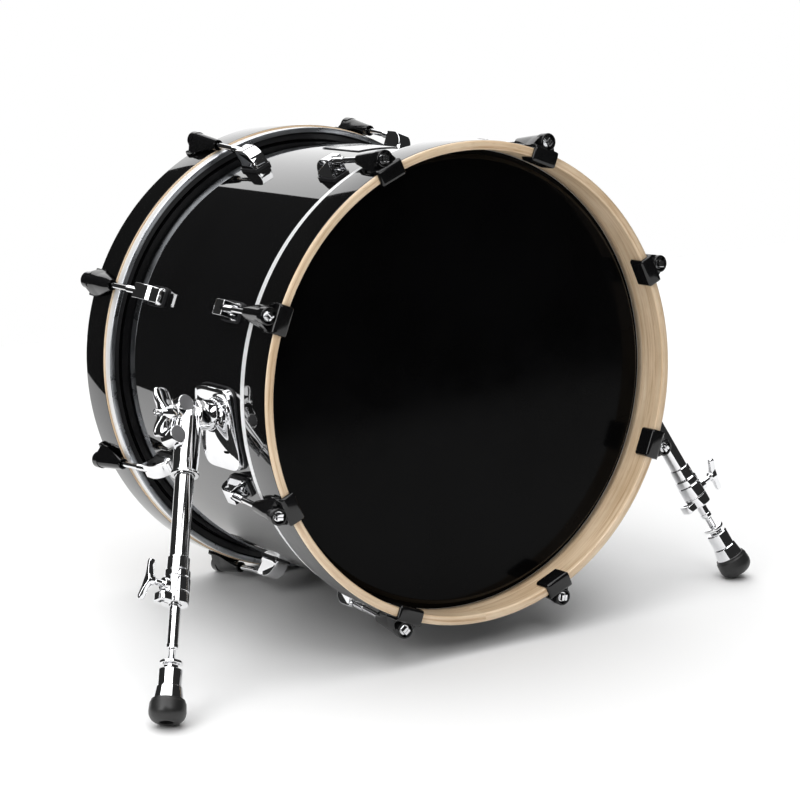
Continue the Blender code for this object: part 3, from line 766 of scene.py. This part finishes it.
def bracket_meshes(swing):
    """The right-hand bell that carries the swing barrel, in the drum frame, and its gasket."""
    to_drum = DRUM.inverted() @ swing
    axis, pivot, across = to_drum.to_3x3() @ X_AXIS, to_drum.translation, Y_AXIS
    up = axis.cross(across)
    low, high = local_box("right_spur_bracket", DRUM)
    middle = (low.y + high.y) / 2
    base_angle = math.radians(96.8)
    radial = Vector((math.sin(base_angle), 0.0, math.cos(base_angle)))
    around = radial.cross(across)
    foot = radial * (SHELL_RADIUS - 0.010) + across * middle
    half_long, half_high = (high.y - low.y) / 2, 0.0425
    squareness, ring_steps = 0.36, 96

    def plate(height, inset):
        return superellipse(foot + radial * (0.010 + height), across, around,
                            half_long - inset, half_high - inset, squareness, ring_steps)

    neck, rim, steps = 0.0166, 0.0050, 16
    face = pivot + axis * (BARREL_JOINT - 0.0010)
    rings = [plate(-0.012, 0.0), plate(0.0040, 0.0), plate(0.0054, 0.0006), plate(0.0062, 0.0026)]
    start = foot + radial * 0.0166
    for k in range(1, steps + 1):
        f = k / steps
        spread = (1 - f) ** 1.3
        rings.append(superellipse(start.lerp(face, f ** 1.6), across, around.lerp(up, f).normalized(),
                                  neck + (half_long - rim - neck) * spread,
                                  neck + (half_high - rim - neck) * spread,
                                  squareness + 0.60 * f, ring_steps))
    bell = loft(rings, sharp=50)

    tooth_depth, per_tooth = 0.0012, 4
    rings = []
    for x, radius in ((BARREL_JOINT - 0.012, 0.0155), (None, 0.0161), (None, 0.0118),
                      (BARREL_JOINT - 0.003, 0.0112)):
        ring = []
        for k in range(ring_steps):
            angle = 2 * math.pi * k / ring_steps
            tooth = tooth_depth * abs((k / per_tooth) % 1.0 * 2 - 1)
            spoke = across * math.cos(angle) + up * math.sin(angle)
            along = BARREL_JOINT - 0.0001 - tooth if x is None else x
            ring.append(pivot + axis * along + spoke * radius)
        rings.append(ring)
    crown = loft(rings, sharp=25)

    clear = SHELL_RADIUS + 0.0022
    bolt_hole = cylinder(pivot - axis * 0.033, pivot, 0.0046)
    slot_at = start - across * 0.020 - around * 0.0215
    slot = loft([superellipse(slot_at + radial * h, across, around, 0.0042, 0.0015, 0.7, 32)
                 for h in (-0.003, 0.006)])
    bell = combine(bell, ("UNION", crown), ("DIFFERENCE", sleeve(0.0, clear)),
                   ("DIFFERENCE", bolt_hole), ("DIFFERENCE", slot))
    pad = loft([superellipse(foot + radial * h, across, around, half_long + 0.0006, half_high + 0.0006,
                             squareness, ring_steps) for h in (-0.004, 0.0165)])
    pad = combine(pad, ("DIFFERENCE", sleeve(0.0, SHELL_RADIUS + 0.0001)),
                  ("DIFFERENCE", sleeve(clear - 0.0001, 0.3)))
    return bell, pad


def knuckle_meshes(leg, swing):
    """The turning half of a swing joint, in the leg's frame, and its two round caps."""
    axis = (leg.inverted() @ swing).to_3x3() @ X_AXIS
    centre = Vector((0, 0, SWING_RISE))

    def along(outline, start):
        return turned_between(outline, centre + axis * start, centre + axis * (start + 0.05), 64)

    start = BARREL_JOINT + 0.0003
    length = -0.0035 - start
    barrel = along(rounded([(0, 0, 0), (BARREL_RADIUS, 0, 0.0010), (BARREL_RADIUS, length, 0.0030),
                            (0, length, 0)]), start)
    hub = along(rounded([(0, 0, 0), (0.0095, 0, 0), (0.0095, 0.0235, 0.0012), (0, 0.0235, 0)]), -0.006)
    bolt = along(rounded([(0, 0, 0), (0.0034, 0, 0), (0.0034, 0.0290, 0.0006), (0.0016, 0.0290, 0.0004),
                          (0.0010, 0.0278, 0), (0, 0.0278, 0)]), 0.0100)
    socket = revolve(down((0, -0.010, 0), (0.0115, -0.010, 0.004), (0.0131, 0.002, 0.006),
                          (0.0127, 0.050, 0.004), (0.0125, 0.0585, 0.0005), (0.0141, 0.0592, 0.0008),
                          (0.0141, 0.0620, 0.0008), (0.0102, 0.0620, 0.0004), (0.0102, 0.030, 0),
                          (0, 0.030, 0)), 64)
    web = softened(block(rectangle(0.001, -0.004, 0.0165, 0.0085), -0.021, 0.009), 0.003, 4)
    bosses, wells, caps = [], [], []
    for x, near, z in ((0.0088, -0.0072, 0.0117), (0.0172, -0.0098, -0.0250)):
        bosses.append(("UNION", cylinder((x, 0.009, z), (x, near, z), 0.0091, 0.0010)))
        wells.append(("DIFFERENCE", cylinder((x, near + 0.0016, z), (x, near - 0.02, z), 0.0084)))
        caps.append(cylinder((x, near + 0.0030, z), (x, near - 0.0003, z), 0.0082, 0.0006))
    knuckle = combine(barrel, ("UNION", socket), ("UNION", hub), ("UNION", web), *bosses, *wells)
    return joined(knuckle, bolt), joined(*caps)


def paddle(sections, way, turn, steps=24):
    """One wing: rounded sections (height, inner x, outer x, half thickness) lofted outwards."""
    rings = []
    for z, x0, x1, half in sections:
        centre = Vector(((x0 + x1) / 2, 0.0, way * z))
        ring = superellipse(centre, X_AXIS, Y_AXIS, (x1 - x0) / 2, half, 0.62, steps)
        rings.append([Matrix.Rotation(turn, 3, "X") @ point for point in ring])
    return loft(rings, sharp=50)


def smooth_sections(keys, count):
    """Sections between the given ones, by Catmull-Rom interpolation."""
    out = []
    for n in range(count + 1):
        place = n / count * (len(keys) - 1)
        k = min(int(place), len(keys) - 2)
        f = place - k
        ends = [keys[max(k - 1, 0)], keys[k], keys[k + 1], keys[min(k + 2, len(keys) - 1)]]
        out.append([0.5 * (2 * b + (c - a) * f + (2 * a - 5 * b + 4 * c - d) * f * f
                           + (3 * b - a - 3 * c + d) * f ** 3) for a, b, c, d in zip(*ends)])
    return out


def wing_nut_mesh():
    """A conical hub with broad wings that spread away from the leg."""
    hub = turned_between(rounded([(0.0037, 0, 0.0002), (0.0095, 0, 0.0008), (0.0092, 0.0050, 0.001),
                                  (0.0080, 0.0110, 0.001), (0.0068, 0.0160, 0.0016),
                                  (0.0037, 0.0160, 0.0004)]), (0.0180, 0, 0), (0.04, 0, 0), 48)
    keys = [(0.0030, 0.0185, 0.0345, 0.0070), (0.0075, 0.0190, 0.0360, 0.0058),
            (0.0125, 0.0200, 0.0385, 0.0042), (0.0175, 0.0215, 0.0400, 0.0032),
            (0.0212, 0.0235, 0.0400, 0.0026), (0.0238, 0.0262, 0.0388, 0.0019),
            (0.0246, 0.0295, 0.0360, 0.0010)]
    wings = [paddle(smooth_sections(keys, 22), way, NUT_TURN) for way in (-1, 1)]
    bore = cylinder((0.01, 0, 0), (0.05, 0, 0), 0.0037)
    return combine(hub, ("UNION", wings[0]), ("UNION", wings[1]), ("DIFFERENCE", bore))


def wing_bolt_mesh():
    """The T-shaped bolt that squeezes the collar, about its own axis."""
    half = [(0.0060, 0.0294, 0.0366, 0.0036), (0.0115, 0.0306, 0.0376, 0.0027),
            (0.0165, 0.0312, 0.0384, 0.0025), (0.0196, 0.0322, 0.0378, 0.0020),
            (0.0206, 0.0338, 0.0366, 0.0010)]
    keys = [(-z, *rest) for z, *rest in reversed(half)] + [(0.0, 0.0280, 0.0358, 0.0056)] + half
    handle = paddle(smooth_sections(keys, 44), 1, BOLT_TURN)
    shaft = turned_between(rounded([(0, 0, 0), (0.0034, 0, 0.0003), (0.0034, 0.0085, 0.001),
                                    (0.0056, 0.0110, 0.001), (0.0058, 0.0165, 0.0015),
                                    (0, 0.0180, 0)]), (0.0169, 0, 0), (0.04, 0, 0), 36)
    return combine(shaft, ("UNION", handle))


def tube_mesh():
    """The upper leg tube."""
    return revolve(down((0.0068, 0.0305, 0), (TUBE_RADIUS, 0.0305, 0.0005), (TUBE_RADIUS, 0.1748, 0.0005),
                        (0.0068, 0.1748, 0)), 64)


def collar_mesh(ear_way):
    """The stepped clamp at the tube's end, split below, with its boss and slotted ear."""
    body = revolve(down((0.0062, COLLAR_END, 0.0003), (0.0128, COLLAR_END, 0.0012), (0.0130, 0.1858, 0.0003),
                        (0.0124, 0.1854, 0), (0.0124, 0.1846, 0), (0.0130, 0.1842, 0.0003),
                        (0.0130, 0.1712, 0.0006), (0.0122, 0.1700, 0.0004), (0.0126, 0.1690, 0.0004),
                        (0.0126, 0.1630, 0.0008), (0.0112, 0.1612, 0.0006), (0.0110, 0.1490, 0.0010),
                        (0.0097, 0.1480, 0.0004), (0.0097, 0.1752, 0), (0.0062, 0.1752, 0)), 72)
    boss = cylinder((0.008, 0, -WING_BOLT), (0.0166, 0, -WING_BOLT), 0.0068, 0.001)
    z = -0.1925
    outline = rounded([(ear_way * 0.008, -0.0085, 0), (ear_way * 0.0215, -0.0085, 0.005),
                       (ear_way * 0.0215, 0.0085, 0.005), (ear_way * 0.008, 0.0085, 0)])
    ear = softened(block(outline, z - 0.0042, z + 0.0042), 0.001, 3)
    slot = block(rectangle(ear_way * 0.0148, -0.0045, ear_way * 0.0182, 0.0045, 0.0016),
                 z - 0.01, z + 0.01)
    split = block(rectangle(ear_way * 0.0085, -0.0006, ear_way * 0.0145, 0.0006), -0.1845, -0.2)
    bore = cylinder((0, 0, -0.14), (0, 0, -0.21), 0.0061)
    return combine(body, ("UNION", boss), ("UNION", ear), ("DIFFERENCE", slot), ("DIFFERENCE", split),
                   ("DIFFERENCE", bore))


def inner_rod_mesh():
    """The sliding rod with its end ring, threaded stud and spike, from its shoulder."""
    outline = [(0, -0.165), (0.0048, -0.165), (0.00535, -0.1644), (0.00535, -0.0050), (0.0058, -0.0044),
               (0.0058, -0.0008), (0.0052, -0.0001), (0.0040, 0.0002), (0.0038, 0.0010)]
    pitch, first = 0.00125, 0.0015
    for k in range(int((0.0560 - first) / pitch)):
        h = first + k * pitch
        outline += [(0.0034, h), (0.0038, h + pitch * 0.40), (0.0038, h + pitch * 0.60)]
    outline += [(0.0036, 0.0570), (0, 0.0690)]
    return revolve([(r, -h) for r, h in outline], 36)


def lock_nut_mesh():
    """The nut on the stud: a scalloped flange over a hexagon."""
    flange = revolve(down((0.0041, 0.0118, 0), (0.0085, 0.0122, 0.001), (0.0114, 0.0128, 0.0012),
                          (0.0115, 0.0158, 0.0012), (0.0088, 0.0168, 0.0006), (0.0041, 0.0172, 0)), 72)
    scallops, depth = 8, 0.035
    for vertex in flange.vertices:
        if vertex.co.xy.length > 0.0095:
            angle = math.atan2(vertex.co.y, vertex.co.x)
            scale = 1.0 - depth * (0.5 + 0.5 * math.cos(scallops * angle))
            vertex.co.x, vertex.co.y = vertex.co.x * scale, vertex.co.y * scale
    corner_radius = 0.0079
    corners = [(corner_radius * math.cos(math.pi * k / 3), corner_radius * math.sin(math.pi * k / 3),
                0.0008) for k in range(6)]
    hexagon = softened(block(rounded(corners, 3), -0.0160, -0.0199), 0.0004, 2)
    bore = cylinder((0, 0, -0.005), (0, 0, -0.03), 0.0041)
    return combine(flange, ("UNION", hexagon), ("DIFFERENCE", bore))


def foot_meshes():
    """The chrome ferrule that runs on the stud, and the rubber foot on its end."""
    ferrule = revolve(down((0.0042, 0.0204, 0), (0.0100, 0.0204, 0.0006), (0.0117, 0.0216, 0.0006),
                           (0.0117, 0.0378, 0.0007), (0.0123, 0.0384, 0.0004), (0.0128, 0.0390, 0.0008),
                           (0.0148, 0.0508, 0.0006), (0.0148, 0.0520, 0), (0.0125, 0.0562, 0),
                           (0.0042, 0.0562, 0)), 72)
    rubber = revolve(down((0.0150, 0.0512, 0.0002), (0.0163, 0.0510, 0.0006), (0.0166, 0.0528, 0.0008),
                          (0.0176, 0.0545, 0.0015), (0.0181, 0.0620, 0.0030), (0.0181, 0.0735, 0.0106),
                          (0.0064, 0.0735, 0.0010), (0.0060, 0.0580, 0.0),
                          (0.0140, 0.0575, 0), (0.0150, 0.0535, 0), steps=8), 80)
    return ferrule, rubber


def build_spurs():
    """Both spurs; each row gives a piece's mesh, place, body and the CAD node it stands for."""
    bell, pad = bracket_meshes(swing_frame("right"))
    wing_nut, wing_bolt, tube = wing_nut_mesh(), wing_bolt_mesh(), tube_mesh()
    inner_rod, lock_nut = inner_rod_mesh(), lock_nut_mesh()
    ferrule, rubber = foot_meshes()
    for side in ("left", "right"):
        way = 1 if side == "right" else -1

        def handed(mesh):
            return mesh if way > 0 else mirrored(mesh)

        leg, swing = leg_frame(side), swing_frame(side)
        mirror = Matrix.Diagonal((way, 1.0, 1.0, 1.0))
        knuckle, caps = knuckle_meshes(mirror @ leg @ mirror, mirror @ swing @ mirror)
        shoulder = -local_box(side + "_inner_rod", leg)[0].z - ROD_REACH
        at_shoulder = leg @ Matrix.Translation((0, 0, -shoulder))
        at_bolt = leg @ Matrix.Translation((0, 0, -WING_BOLT))
        rows = [("spur_bell", handed(bell), CHROME, DRUM, "drum", "spur_bracket"),
                ("spur_pad", handed(pad), GASKET_BLACK_AND_SHADE, DRUM, "drum", None),
                ("spur_joint", handed(knuckle), CHROME, leg, "leg", "spur_knuckle"),
                ("joint_caps", handed(caps), GREY_CAP, leg, "leg", None),
                ("spur_wing_nut", handed(wing_nut), CHROME, swing, "wing_nut", "wing_nut"),
                ("outer_tube", tube, CHROME, leg, "leg", "leg_tube"),
                ("tube_clamp", handed(collar_mesh(-way)), CHROME, leg, "leg", "leg_collar"),
                ("clamp_bolt", handed(wing_bolt), CHROME, at_bolt, "wing_bolt", "wing_bolt"),
                ("sliding_rod", inner_rod, ROD_CHROME, at_shoulder, "inner_rod", "inner_rod"),
                ("foot_nut", lock_nut, CHROME, at_shoulder, "lock_nut", "lock_nut"),
                ("foot_sleeve", ferrule, CHROME, at_shoulder, "foot", "foot_ferrule")]
        for name, mesh, material, place, body, node in rows:
            body = body if body == "drum" else f"{side}_{body}"
            piece(f"{side}_{name}", mesh, material, place, body,
                  [f"{side}_{node}"] if node else ())
        piece(f"{side}_foot_rubber", rubber, RUBBER, at_shoulder, side + "_foot",
              [side + "_rubber_foot"])


# ---------- floor, light, camera
def build_stage():
    """A pale floor in two parts; the part to the left takes shade but isn't reflected."""
    n = Nodes("pale_floor")
    tone = n.ramp(n.noise(n.place(), 0.8, 2.0), (0.3, (0.86, 0.86, 0.86)), (0.7, (0.88, 0.88, 0.88)))
    n.set(Base_Color=tone, Roughness=0.75, IOR=1.3)
    near, far = -1.9, 1.3
    for name, left, right in (("floor", -0.589, 1.8), ("floor_side", -1.9, -0.589)):
        mesh = bpy.data.meshes.new(name)
        mesh.from_pydata([(left, near, 0), (right, near, 0), (right, far, 0), (left, far, 0)], [],
                         [(0, 1, 2, 3)])
        mesh.materials.append(n.material)
        floor = bpy.data.objects.new(name, mesh)
        floor.visible_glossy = name == "floor"
        bpy.context.scene.collection.objects.link(floor)


def softbox(name, azimuth, elevation, distance, width, height, radiance):
    """A rectangular light that faces the drum; azimuth is from +Y towards +X."""
    target = Vector((0.0, 0.0, 0.25))
    a, e = math.radians(azimuth), math.radians(elevation)
    away = Vector((math.sin(a) * math.cos(e), math.cos(a) * math.cos(e), math.sin(e)))
    light = bpy.data.lights.new(name, "AREA")
    light.shape = "RECTANGLE"
    light.size, light.size_y = width, height
    light.energy = radiance * math.pi * width * height
    obj = bpy.data.objects.new(name, light)
    obj.location = target + away * distance
    obj.rotation_euler = away.to_track_quat("Z", "Y").to_euler()
    obj.visible_camera = False
    bpy.context.scene.collection.objects.link(obj)


def build_light():
    """A broad light from above, three softboxes, and a world that is white to the camera only."""
    sky = bpy.data.lights.new("overhead_light", "SUN")
    sky.energy, sky.angle = 3.05, math.radians(75)
    overhead = bpy.data.objects.new("overhead_light", sky)
    overhead.rotation_euler = (math.radians(-8), math.radians(-6), 0.0)
    bpy.context.scene.collection.objects.link(overhead)
    softbox("rear_box", 26.5, 18.5, 3.2, 2.2, 2.6, 1.45)
    softbox("left_box", -108.0, 26.0, 2.8, 1.2, 1.8, 4.0)
    softbox("front_box", -165.0, 42.0, 3.2, 1.8, 1.2, 3.4)
    world = bpy.data.worlds.new("studio")
    world.use_nodes = True
    tree = world.node_tree
    background = tree.nodes["Background"]
    background.inputs["Color"].default_value = (1.0, 1.0, 1.0, 1.0)
    path = tree.nodes.new("ShaderNodeLightPath")
    level = tree.nodes.new("ShaderNodeMapRange")
    level.inputs["To Min"].default_value = 0.025
    level.inputs["To Max"].default_value = 1.0
    tree.links.new(path.outputs["Is Camera Ray"], level.inputs["Value"])
    tree.links.new(level.outputs[0], background.inputs["Strength"])
    bpy.context.scene.world = world
    bpy.context.scene.view_settings.view_transform = "Standard"


def build_camera():
    """The photograph's viewpoint, by its direction and distance from the front hoop."""
    camera = bpy.data.cameras.new("camera")
    camera.lens, camera.sensor_width = 123.8, 36.0
    camera.clip_end = 60.0
    azimuth, elevation, roll = math.radians(-33.107), math.radians(14.324), math.radians(0.2)
    away = Vector((math.sin(azimuth) * math.cos(elevation), -math.cos(azimuth) * math.cos(elevation),
                   math.sin(elevation)))
    right = Vector((0, 0, 1)).cross(away).normalized()
    upward = away.cross(right)
    right, upward = (right * math.cos(roll) + upward * math.sin(roll),
                     upward * math.cos(roll) - right * math.sin(roll))
    distance, aside, above = 2.7572, -0.0772, -0.0147
    centre = DRUM @ Vector((0.0, -HALF_LENGTH, 0.0))
    location = centre + away * distance + right * aside + upward * above
    obj = bpy.data.objects.new("camera", camera)
    obj.matrix_world = Matrix.Translation(location) @ Matrix((right, upward, away)).transposed().to_4x4()
    bpy.context.scene.collection.objects.link(obj)
    bpy.context.scene.camera = obj


build_shell()
build_ends()
build_plate()
build_tension()
build_spurs()
build_stage()
build_light()
build_camera()
